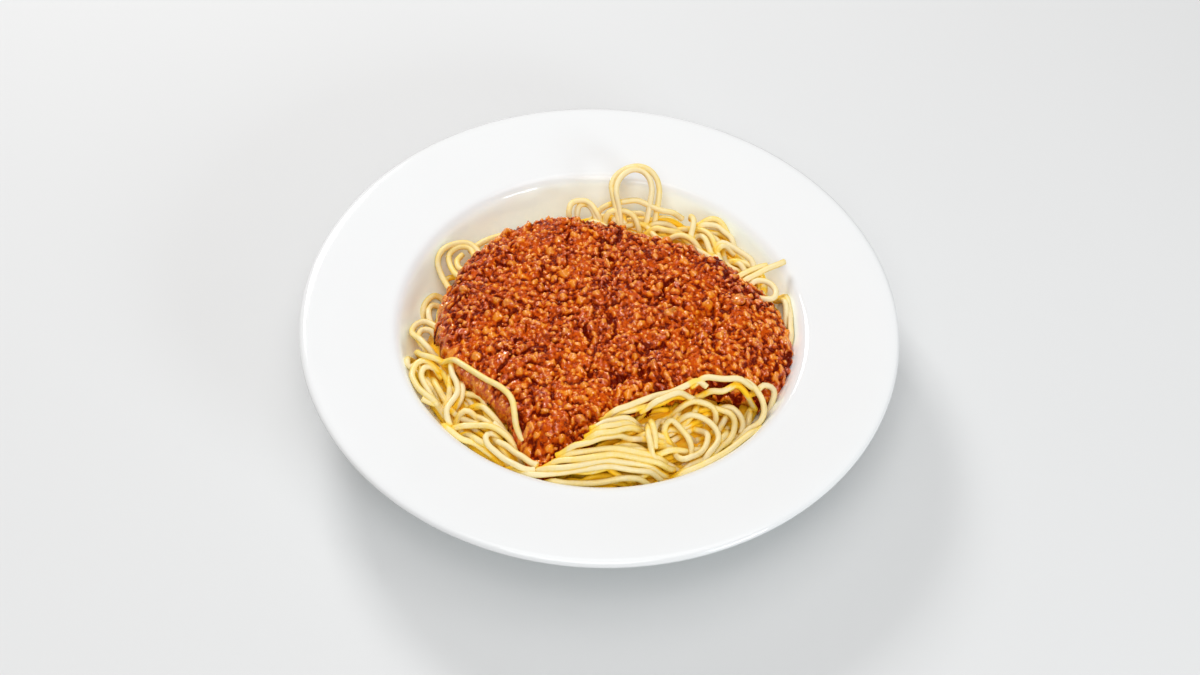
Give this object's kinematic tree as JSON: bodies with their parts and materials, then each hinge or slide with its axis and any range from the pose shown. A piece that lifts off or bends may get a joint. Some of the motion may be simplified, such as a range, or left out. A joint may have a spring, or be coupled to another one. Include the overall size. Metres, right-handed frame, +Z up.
{
  "type": "spaghetti bolognese on a plate",
  "caption": "Deep rimmed white plate heaped with spaghetti, its strands curling round the well, under a mound of minced meat and tomato sauce.",
  "frame": {"origin": "on the table under the middle of the plate's foot ring", "axes": "+Z up through the plate's axis, -Y towards the diner"},
  "size_m": [0.2692, 0.27, 0.0572],
  "materials": {
    "plate": "white glazed porcelain, glossy, with an unglazed foot ring",
    "spaghetti": "cooked pasta, pale yellow, moist satin surface",
    "bolognese_sauce": "minced meat in tomato sauce, orange-red to brown, wet and oily"
  },
  "bodies": {
    "root": {"plate": "plate", "spaghetti": "spaghetti", "bolognese_sauce": "bolognese_sauce"}
  },
  "joints": []
}
